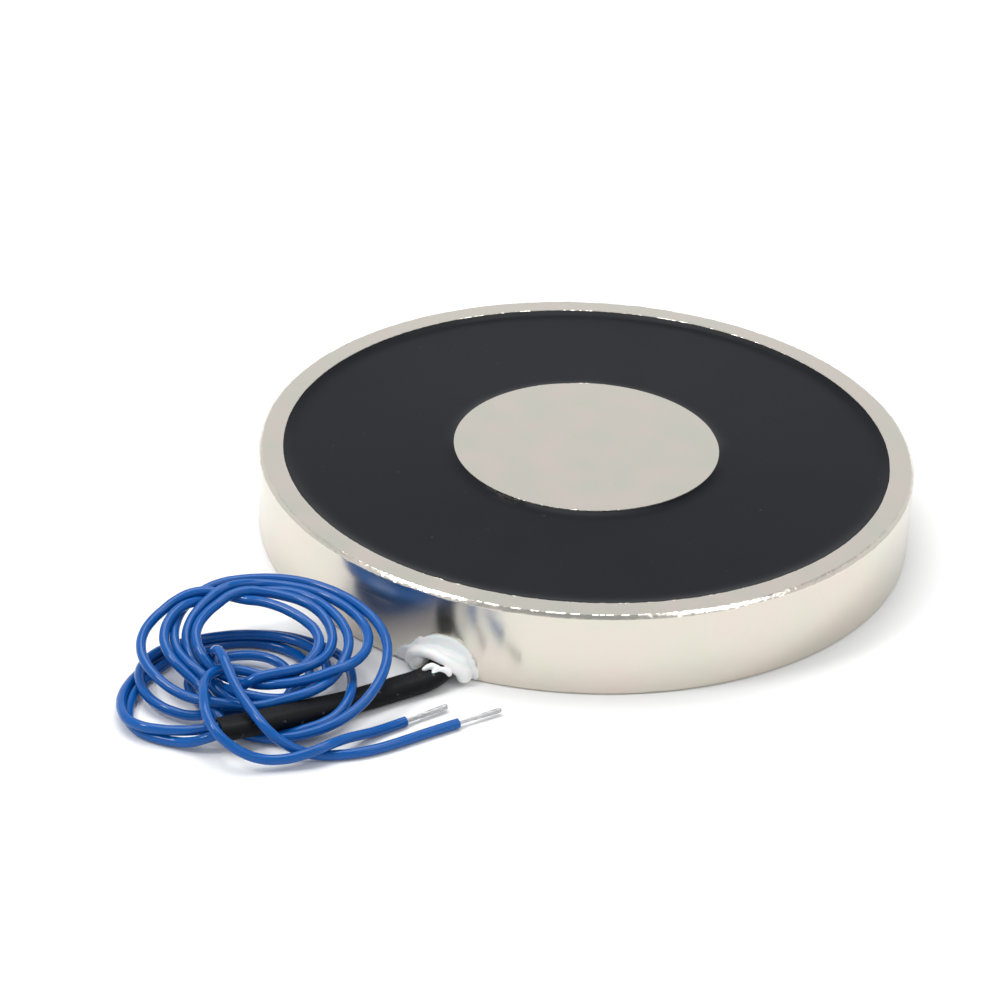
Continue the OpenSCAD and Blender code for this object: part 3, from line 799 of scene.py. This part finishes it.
class MAGNET_OT_tips(Operator):
    bl_idname = "magnet.tips"
    bl_label = "Bare ends"

    # Each lead's free end, and the strands' share of the conductor's size at the insulation and at the tip
    ENDS = {"lead_a": (END_A_ROUTE, (0.62, 0.9)), "lead_b": (END_B_ROUTE, (0.84, 1.04))}
    # Length of the strands that the insulation hides, and rounding of their ends, in millimetres
    HIDDEN = 0.6
    ROUNDING = 0.3
    # Shares of the bare length: where the solder sets in, and how far on it is thickest
    SOLDER_FROM = 0.25
    SOLDER_OVER = 0.5
    # Shares of the strands' size: depth of the gaps between them, what solder fills of that, and lumps
    GAP = 0.3
    FILLED = 0.25
    LUMPS = 0.08

    def execute(self, context):
        leads = context.scene.magnet.leads
        material = tinned_copper(context.scene.magnet.colours)
        for name, (route, slim) in self.ENDS.items():
            before, end = np.array(from_wall(route)[-2:]) * MM
            tip = add_object(name + "_strands", self.strands(leads, Vector(end), Vector(end - before), slim))
            dress(tip, material)
            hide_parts(name + "_tip")
            cord = bpy.data.objects[name]
            cord_length(cord)
        return {"FINISHED"}

    def strands(self, leads, start, ahead, slim, sides=48, rings=72):
        """Six strands twisted around a core; towards the rounded end, solder fills the gaps between them."""
        ahead = Vector((ahead.x, ahead.y, 0)).normalized()
        level = Vector((-ahead.y, ahead.x, 0))
        up = Vector((0, 0, 1))
        inside, rounding = self.HIDDEN * MM, self.ROUNDING * MM
        tube = []
        for i in range(rings):
            # The power brings the rings closer together towards the tip
            along = (leads.strip + inside) * (1 - (1 - i / (rings - 1)) ** 1.6) - inside
            share = along / leads.strip
            solder = min(1, max(0, (share - self.SOLDER_FROM) / self.SOLDER_OVER))
            lump = noise.noise(Vector((share * 5, start.x / MM, 0.4)))
            outer = leads.conductor / 2 * (slim[0] + (slim[1] - slim[0]) * solder + self.LUMPS * lump)
            gap = self.GAP - self.FILLED * solder
            left = leads.strip - along
            if left < rounding:
                outer *= max(0.02, 1 - (1 - left / rounding) ** 2) ** 0.5
            twist = 2 * math.pi * along / leads.lay
            ring = []
            for k in range(sides):
                turn = 2 * math.pi * k / sides
                reach = outer * (1 - gap * (1 - abs(math.cos(3 * (turn - twist)))))
                ring.append(start + along * ahead + reach * (math.cos(turn) * level + math.sin(turn) * up))
            tube.append(ring)
        bm = bmesh.new()
        made = add_rings(bm, tube)
        for end, ring in ((made[0], tube[0]), (made[-1], tube[-1])):
            add_cap(bm, end, sum(ring, Vector()) / sides)
        return mesh_from("strands", bm)


def cord_length(cord):
    """Length of a cord's curve, to the millimetre."""
    data = cord.data.copy()
    data.bevel_depth = 0
    probe = add_object("probe", data)
    bpy.context.view_layer.update()
    mesh = applied(probe)
    places = [vertex.co for vertex in mesh.vertices]
    total = sum((places[a] - places[b]).length for a, b in (edge.vertices for edge in mesh.edges))
    bpy.data.objects.remove(probe)
    bpy.data.meshes.remove(mesh)
    bpy.data.curves.remove(data)
    return round(total, 3)


class MAGNET_OT_sleeve(Operator):
    """Draws the flat black sleeve over both leads"""
    bl_idname = "magnet.sleeve"
    bl_label = "Sleeve"

    SHARP = math.radians(50)
    # Unevenness as a share of the size, and how far its noise moves on from ring to ring
    UNEVEN = 0.03
    MOVES_ON = 0.11

    def execute(self, context):
        leads = context.scene.magnet.leads
        line = smooth_line(sleeve_line(leads), FINE_STEP)
        right = sideways(line)
        ahead = np.gradient(line, axis=0)
        over = np.cross(right, ahead)
        over /= np.linalg.norm(over, axis=1)[:, None]
        bm = bmesh.new()
        outer = self.rings(leads, line, right, over, 0.0)
        inner = self.rings(leads, line, right, over, leads.sleeve_wall / MM)
        add_rings(bm, outer + inner[::-1], closed=True)
        sleeve = add_object("black_sleeve", mesh_from("black_sleeve", bm, self.SHARP))
        dress(sleeve, black_tubing(context.scene.magnet.colours))
        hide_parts("exit_sleeve")
        return {"FINISHED"}

    def rings(self, leads, line, right, over, inset, count=48):
        """Oval rings along the sleeve, inset from its outside."""
        thick = leads.sleeve_thickness / 2 / MM
        flat = leads.sleeve_width / 2 / MM - thick
        made = []
        for i, (middle, r, o) in enumerate(zip(line, right, over)):
            swell = 1 + self.UNEVEN * noise.noise(Vector((i * self.MOVES_ON, 0.3, 0.7)))
            ring = []
            for k in range(count):
                a = 2 * math.pi * k / count
                across = (math.copysign(flat, math.cos(a)) if abs(math.cos(a)) > 1e-6 else 0.0)
                across += (thick - inset) * math.cos(a)
                up = (thick - inset) * math.sin(a)
                ring.append(Vector(middle + across * swell * r + up / swell * o) * MM)
            made.append(ring)
        return made


class MAGNET_OT_sealant(Operator):
    """Dabs white sealant around the mouth of the lead hole"""
    bl_idname = "magnet.sealant"
    bl_label = "Sealant"

    # Blobs as angle around the pot from the lead hole, height, distance outside the wall, and radius,
    # in degrees and millimetres
    ROPE = [
        (-6.0, 1.4, 0.6, 0.95), (-5.6, 2.2, 0.8, 0.95), (-4.8, 3.0, 1.1, 0.9), (-3.6, 3.6, 1.5, 0.85),
        (-2.3, 4.0, 1.9, 0.8), (-1.0, 4.1, 2.1, 0.8), (0.2, 3.9, 2.2, 0.8), (1.3, 3.5, 2.1, 0.85),
        (2.2, 3.0, 1.8, 0.95), (3.0, 2.5, 1.5, 1.05), (3.7, 2.0, 1.2, 1.15), (3.8, 1.3, 1.2, 1.2),
    ]
    HEEL = [(-4.8, 1.1, 0.9, 1.0), (-3.9, 1.8, 1.3, 0.8), (-3.2, 2.7, 1.5, 0.8)]
    BACK = [
        (-4.4, 3.0, 0.2, 0.8), (-3.0, 3.5, 0.5, 0.8), (-1.2, 3.8, 0.8, 0.85), (0.8, 3.7, 0.9, 0.85),
        (2.4, 3.3, 0.6, 0.85), (3.4, 2.8, 0.4, 0.85),
    ]
    FINGERS = [
        (-1.3, 3.1, 4.7, 0.32), (-0.9, 3.3, 4.2, 0.45), (-0.4, 3.4, 3.8, 0.5), (0.4, 3.2, 3.7, 0.5),
        (0.2, 2.8, 4.7, 0.32), (0.6, 3.1, 3.9, 0.45), (1.3, 3.0, 3.5, 0.5), (2.2, 2.3, 3.0, 0.55),
    ]
    # Upper edge of the thin film on the wall, as angle and height
    FILM_EDGE = [
        (-8.6, 0.8), (-8.4, 1.6), (-7.8, 2.2), (-7.0, 2.3), (-6.0, 2.9), (-5.2, 3.9), (-4.7, 4.5),
        (-3.9, 4.5), (-2.8, 5.2), (-1.2, 5.7), (0.4, 5.8), (1.8, 5.6), (3.0, 4.9), (4.0, 4.0),
        (4.7, 2.8), (5.2, 1.8), (5.4, 0.8),
    ]
    FILM_PROUD = 0.26
    # Depth in the lead hole of the blob that fills it, and size of the skin's facets
    PLUG_DEPTH = 2.2
    FACET = 0.14

    def execute(self, context):
        leads = context.scene.magnet.leads
        bm = bmesh.new()
        for chain in (self.ROPE, self.HEEL, self.BACK, self.FINGERS):
            self.add_chain(bm, chain)
        self.add_film(bm)
        plug = Vector(hole_point(leads, self.PLUG_DEPTH)) * MM
        self.add_blob(bm, plug, leads.hole / 2)
        bead = add_object("sealant_bead", mesh_from("sealant_bead", bm))
        remesh = bead.modifiers.new("one_skin", "REMESH")
        remesh.mode = "VOXEL"
        remesh.voxel_size = self.FACET * MM
        soften = bead.modifiers.new("soften", "SMOOTH")
        soften.factor = 0.5
        soften.iterations = 6
        bead.data = applied(bead)
        bead.modifiers.clear()
        for polygon in bead.data.polygons:
            polygon.use_smooth = True
        dress(bead, silicone_sealant(context.scene.magnet.colours))
        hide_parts("sealant")
        return {"FINISHED"}

    def add_blob(self, bm, place, radius):
        """A round blob."""
        bmesh.ops.create_icosphere(bm, subdivisions=3, radius=radius, matrix=Matrix.Translation(place))

    def add_film(self, bm, radius=0.8, step=0.5):
        """A thin film on the wall, from the floor to its uneven upper edge."""
        angles, heights = zip(*self.FILM_EDGE)
        depth = self.FILM_PROUD - radius
        for angle in np.arange(angles[0], angles[-1], math.degrees(step / POT_R)):
            top = float(np.interp(angle, angles, heights))
            for z in np.linspace(radius, max(top, radius + step), max(2, round(top / step))):
                self.add_blob(bm, self.on_wall(angle, float(z), depth), radius * MM)

    def on_wall(self, angle, z, out):
        """A point at an angle from the lead hole, a height, and a distance outside the wall."""
        turn = math.radians(angle)
        r = POT_R + out
        return Vector((r * math.sin(turn), -r * math.cos(turn), z)) * MM

    def add_chain(self, bm, chain, between=5):
        """Blobs close together along a chain."""
        for (a0, z0, d0, r0), (a1, z1, d1, r1) in zip(chain, chain[1:]):
            for i in range(between):
                u = i / between
                place = self.on_wall(a0 + (a1 - a0) * u, z0 + (z1 - z0) * u, d0 + (d1 - d0) * u)
                self.add_blob(bm, place, (r0 + (r1 - r0) * u) * MM)


class MAGNET_OT_pot(Operator):
    """Turns the plated pot with its centre pole, groove, lead hole and tapped hole"""
    bl_idname = "magnet.pot"
    bl_label = "Pot"

    SEGMENTS = 1440
    # Each ring's unevenness has its own seed
    SEED_STEP = 3.1
    THREAD_SEGMENTS = 72
    THREAD_ROWS = 12
    SHARP = math.radians(28)
    # Faces whose normal rises or falls more than this are ground, the others are turned
    GROUND = 0.6
    # Stretches of the pole's edge that shine, as angle around the axis and half width in degrees, and the
    # share of the edge's chamfer that is left elsewhere
    BARE_EDGE = [(-92, 7), (-71, 4), (35, 9), (120, 12)]
    COVERED = 0.12
    # Height of the thread's ridge as a share of the pitch, how much wider the drilled hole is than the
    # ridges, and the angle of the drill's point
    RIDGE = 0.54
    DRILLED = 0.12
    DRILL_POINT = math.radians(118)

    def execute(self, context):
        sizes = context.scene.magnet.pot
        leads = context.scene.magnet.leads
        bm = bmesh.new()
        back_edge = self.add_shell(bm, sizes)
        mouth = self.add_thread(bm, sizes)
        edges = ring_edges(bm, back_edge) + ring_edges(bm, mouth)
        bmesh.ops.triangle_fill(bm, edges=edges, use_beauty=True, use_dissolve=False)
        pot = add_object("plated_pot", mesh_from("plated_pot", bm, self.SHARP))
        self.cut_lead_hole(pot, leads)
        look = context.scene.magnet.colours
        dress(pot, nickel_plated_steel(look, True))
        pot.data.materials.append(nickel_plated_steel(look, False))
        for polygon in pot.data.polygons:
            polygon.material_index = int(abs(polygon.normal.z) > self.GROUND)
        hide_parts("pot")
        return {"FINISHED"}

    def add_shell(self, bm, sizes):
        """Everything but the back's middle. Returns the ring near the back face's outer edge."""
        face, back = sizes.face_chamfer / MM, sizes.back_chamfer / MM
        groove, burr = sizes.groove_chamfer / MM, sizes.edge_burr / MM
        rim_r = POT_R - sizes.rim_wall / MM
        pole_r = sizes.pole / 2 / MM
        base = sizes.base / MM
        # Spacing of the rows that keep an edge's shading narrow, and heights of the groove's lips and of its
        # plain walls
        edge, lip, plain = 0.06, POT_H - 0.02, POT_H - 1.5
        pole_edge = [
            (pole_r, POT_H - groove - edge, burr / 2), (pole_r - groove / 3, POT_H - groove / 2, burr),
            (pole_r - groove, lip, burr / 2),
        ]
        # Radius, height and unevenness, up the wall, over the rim, through the groove and onto the pole
        rows = [
            (POT_R - back - 2 * edge, 0, 0), (POT_R - back, 0, 0), (POT_R - back / 3, back / 3, burr / 2),
            (POT_R, back, 0), (POT_R, back + edge, 0), (POT_R, back + 2 * edge, 0), (POT_R, POT_H / 2, 0),
            (POT_R, POT_H - face - 3 * edge, 0), (POT_R, POT_H - face - 2 * edge, 0),
            (POT_R - edge / 5, POT_H - face - edge / 5, burr), (POT_R - edge, POT_H - face + edge, burr),
            (POT_R - face / 2, POT_H - face / 2, burr), (POT_R - face + edge, POT_H - edge, burr),
            (POT_R - face - edge / 5, POT_H - edge / 5, burr), (POT_R - face - 3 * edge, POT_H, 0),
            (POT_R - face - 4 * edge, POT_H, 0), (rim_r + groove + 3 * edge, POT_H, 0),
            (rim_r + groove + 2 * edge, POT_H, 0), (rim_r + groove, lip, burr / 2),
            (rim_r + groove / 3, POT_H - groove / 2, burr), (rim_r, POT_H - groove - edge, burr / 2),
            (rim_r, plain, 0), (rim_r, base, 0), (pole_r, base, 0), (pole_r, plain, 0),
            *pole_edge, (pole_r - groove - 2 * edge, POT_H, 0), (pole_r - groove - 3 * edge, POT_H, 0),
            (pole_r / 2, POT_H, 0),
        ]
        rings = []
        for k, row in enumerate(rows):
            r, z, uneven = row
            ring = circle(r, z, self.SEGMENTS, uneven, self.SEED_STEP * k)
            rings.append(self.cover_edge(ring, pole_r) if row in pole_edge else ring)
        made = add_rings(bm, rings)
        add_cap(bm, made[-1], (0, 0, POT_H * MM))
        return made[0]

    def cover_edge(self, ring, r):
        """Draws a ring of the pole's edge to the sharp corner, apart from the bare stretches."""
        drawn = []
        for point in ring:
            bare = max(nearness(point, middle, half) for middle, half in self.BARE_EDGE)
            out = Vector((point.x, point.y, 0)).normalized()
            corner = (out * r + Vector((0, 0, POT_H))) * MM
            drawn.append(corner.lerp(point, max(self.COVERED, bare)))
        return drawn

    def add_thread(self, bm, sizes):
        """The tapped hole, from its drill cone to its countersink. Returns the ring at the back face."""
        major, pitch = sizes.thread / 2 / MM, sizes.thread_pitch / MM
        depth, mouth = sizes.thread_depth / MM, sizes.thread_mouth / MM
        crest = self.RIDGE * pitch
        drilled = major - crest + self.DRILLED
        rows = self.THREAD_ROWS * math.ceil(depth / pitch)
        rings = []
        for i in range(rows + 1):
            z = depth * (1 - i / rows)
            ring = []
            for k in range(self.THREAD_SEGMENTS):
                turn = 2 * math.pi * k / self.THREAD_SEGMENTS
                phase = (z / pitch - k / self.THREAD_SEGMENTS) % 1
                # A ridge is full up to 0.1 of a pitch from its middle, and ends at 0.4
                ridge = min(1, max(0, 1.35 - abs(phase - 0.5) * 3.4))
                r = max(major - crest * ridge, major + mouth - z)
                if z > depth - pitch:
                    r = min(r, drilled)
                ring.append((r * math.cos(turn) * MM, r * math.sin(turn) * MM, z * MM))
            rings.append(ring)
        made = add_rings(bm, rings)
        cone = drilled / math.tan(self.DRILL_POINT / 2)
        add_cap(bm, made[0], (0, 0, (depth + cone) * MM))
        return made[-1]

    def cut_lead_hole(self, pot, leads):
        """Drills the sloping lead hole through the pot's wall."""
        bm = bmesh.new()
        over = 1.0
        reach = leads.hole_run / MM + over
        bmesh.ops.create_cone(
            bm, cap_ends=True, segments=96, radius1=leads.hole / 2, radius2=leads.hole / 2, depth=reach * MM)
        drill = add_object("drill", mesh_from("drill", bm))
        middle = Vector(hole_point(leads, reach / 2 - over)) * MM
        slope = Matrix.Rotation(leads.hole_slope - math.pi / 2, 4, "X")
        drill.matrix_world = Matrix.Translation(middle) @ slope
        cut = pot.modifiers.new("lead_hole", "BOOLEAN")
        cut.operation = "DIFFERENCE"
        cut.solver = "EXACT"
        cut.object = drill
        bpy.context.view_layer.update()
        pot.data = applied(pot)
        pot.modifiers.clear()
        bpy.data.objects.remove(drill)


class MAGNET_OT_resin(Operator):
    """Pours the resin: its solid with a new surface, which climbs unevenly at the rim and at the pole"""
    bl_idname = "magnet.resin"
    bl_label = "Resin"

    # Distance from the rim or the pole, and depth below the holding face, in millimetres
    RIM_CLIMB = [(0, 0.05), (0.4, 0.17), (0.8, 0.29), (1.2, 0.39), (1.7, 0.46), (2.3, 0.49), (3.0, 0.5)]
    POLE_CLIMB = [(0, 0.14), (0.25, 0.24), (0.6, 0.34), (1.1, 0.43), (1.7, 0.48), (2.4, 0.5)]
    # Unevenness of the climb, and length of its waves
    UNEVEN = 0.08
    WAVE = 4
    # Where the resin sank beside the pole: angle around the axis and half width in degrees, depth and reach
    HOLLOW = (-103, 6, 0.6, 1.1)

    def execute(self, context):
        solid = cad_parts["casting_resin"]
        bm = bmesh.new()
        bm.from_mesh(solid.data)
        bm.transform(solid.matrix_world)
        bmesh.ops.remove_doubles(bm, verts=bm.verts, dist=0.001 * MM)
        surface = (POT_H - self.RIM_CLIMB[-1][1]) * MM
        bmesh.ops.delete(
            bm, geom=[f for f in bm.faces if min(v.co.z for v in f.verts) > surface], context="FACES")
        rim, pole = self.walls(bm)
        edges = self.add_climb(bm, rim, self.RIM_CLIMB, -1)
        edges += self.add_climb(bm, pole, self.POLE_CLIMB, 1, self.HOLLOW)
        bmesh.ops.triangle_fill(bm, edges=edges, use_beauty=True, use_dissolve=False)
        resin = add_object("resin_ring", mesh_from("resin_ring", bm))
        dress(resin, casting_resin(context.scene.magnet.colours))
        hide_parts("casting_resin")
        return {"FINISHED"}

    def walls(self, bm):
        """The open edge's vertices at the rim and at the pole, each in order around the axis."""
        found = {v for e in bm.edges if e.is_boundary for v in e.verts}
        middle = sum(v.co.xy.length for v in found) / len(found)
        around = sorted(found, key=lambda v: math.atan2(v.co.y, v.co.x))
        return [[v for v in around if (v.co.xy.length > middle) == outer] for outer in (True, False)]

    def add_climb(self, bm, wall, climb, outward, hollow=(0, 1, 0, 1)):
        """Rings from a wall's open edge down to the level surface. Returns the last ring's edges."""
        middle, half, sunk, reach = hollow
        r = wall[0].co.xy.length
        rings = [wall]
        for away, depth in climb:
            ring = []
            for v in wall:
                out = Vector((v.co.x, v.co.y, 0)).normalized()
                lift = self.UNEVEN * noise.noise(out * (r / MM / self.WAVE)) * (1 - away / climb[-1][0])
                lift -= sunk * nearness(out, middle, half) * max(0, 1 - away / reach)
                ring.append(out * (r + outward * away * MM) + Vector((0, 0, (POT_H - depth + lift) * MM)))
            if away == 0:
                for v, point in zip(wall, ring):
                    v.co = point
            else:
                rings.append([bm.verts.new(point) for point in ring])
        for high, low in zip(rings, rings[1:]):
            join_rings(bm, high, low)
        return ring_edges(bm, rings[-1])


class MAGNET_OT_inner_pieces(Operator):
    """Finishes the pieces inside the resin, which keep their solids"""
    bl_idname = "magnet.inner_pieces"
    bl_label = "Inner pieces"

    def execute(self, context):
        look = context.scene.magnet.colours
        finishes = (
            (moulded_nylon(look), ("former",)),
            (magnet_wire(look, True), ("winding",)),
            (magnet_wire(look, False), ("start_tail", "finish_tail")),
            (polyester_tape(look), ("winding_tape",)),
            (dull_solder(look), ("start_joint", "finish_joint")),
            (glass_fibre(look), ("start_joint_sleeve", "finish_joint_sleeve")),
        )
        for finish, names in finishes:
            for name in names:
                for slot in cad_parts[name].material_slots:
                    slot.material = finish
        return {"FINISHED"}


STEPS = (
    MAGNET_OT_stage, MAGNET_OT_leads, MAGNET_OT_sleeve, MAGNET_OT_sealant, MAGNET_OT_tips, MAGNET_OT_pot,
    MAGNET_OT_resin, MAGNET_OT_inner_pieces,
)


class MAGNET_PT_steps(Panel):
    """Lists the steps and the settings of the magnet"""
    bl_idname = "MAGNET_PT_steps"
    bl_label = "Holding electromagnet"
    bl_space_type = "VIEW_3D"
    bl_region_type = "UI"
    bl_category = "Magnet"

    def draw(self, context):
        for step in STEPS:
            self.layout.operator(step.bl_idname)
        settings = context.scene.magnet
        for group in (settings.pot, settings.leads, settings.colours, settings.stage):
            box = self.layout.box()
            for name in group.bl_rna.properties.keys():
                if name not in ("name", "rna_type"):
                    box.prop(group, name)


CLASSES = (
    MagnetPotSizes, MagnetLeadSizes, MagnetColours, MagnetStage, MagnetSettings, *STEPS, MAGNET_PT_steps,
)


def register():
    for item in CLASSES:
        bpy.utils.register_class(item)
    bpy.types.Scene.magnet = PointerProperty(type=MagnetSettings)


def unregister():
    del bpy.types.Scene.magnet
    for item in reversed(CLASSES):
        bpy.utils.unregister_class(item)


def main():
    """Dresses the part."""
    register()
    bpy.ops.magnet.stage()
    bpy.ops.magnet.leads()
    bpy.ops.magnet.sleeve()
    bpy.ops.magnet.sealant()
    bpy.ops.magnet.tips()
    bpy.ops.magnet.pot()
    bpy.ops.magnet.resin()
    bpy.ops.magnet.inner_pieces()


if __name__ == "__main__":
    main()
